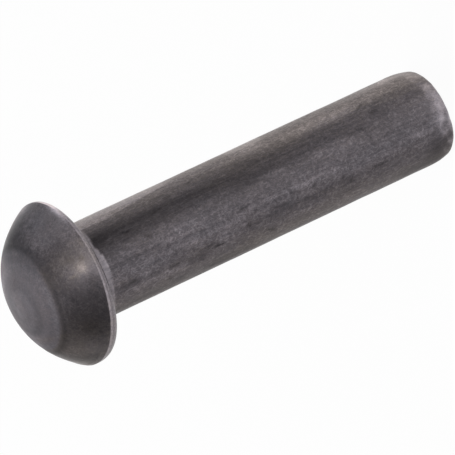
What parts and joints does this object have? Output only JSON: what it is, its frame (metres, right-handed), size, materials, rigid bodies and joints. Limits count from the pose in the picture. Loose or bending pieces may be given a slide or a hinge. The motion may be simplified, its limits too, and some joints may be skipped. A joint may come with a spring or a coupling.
{
  "type": "solid rivet",
  "caption": "Round-head solid steel rivet with a plain cylindrical shank, a stepped low dome and a slightly drawn-in end, unused.",
  "frame": {"origin": "centre of the bearing face, the flat ring under the head, on the shank's axis", "axes": "+Z along the axis, out of the head; the shank runs down -Z and its flat end stands on the surface"},
  "size_m": [0.0138, 0.0138, 0.0403],
  "materials": {
    "dark_steel": "satin"
  },
  "bodies": {
    "root": {"rivet": "dark_steel"}
  },
  "joints": []
}
